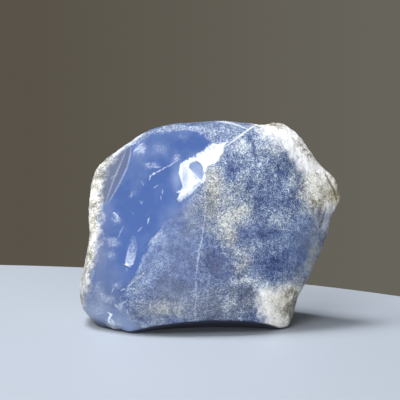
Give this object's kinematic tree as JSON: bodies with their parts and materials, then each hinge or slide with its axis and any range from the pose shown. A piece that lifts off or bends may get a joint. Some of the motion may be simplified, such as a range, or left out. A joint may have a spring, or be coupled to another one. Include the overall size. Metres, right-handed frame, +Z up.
{
  "type": "polished chalcedony stone",
  "caption": "Free-standing lump of translucent blue chalcedony with a glassy face, a frosted face and a chalky rind, resting on a small flat foot.",
  "frame": {"origin": "middle of the stone's bounding box, on the surface it rests on", "axes": "+X along the longest side, to the right of someone looking at the frosted face; the frosted face looks along -Y; +Z up"},
  "size_m": [0.0988, 0.0546, 0.076],
  "materials": {
    "blue_chalcedony": "milky translucent blue stone: glassy broken face, sugary frosted face, matt white rind"
  },
  "bodies": {
    "root": {"chalcedony_stone": "blue_chalcedony"}
  },
  "joints": []
}
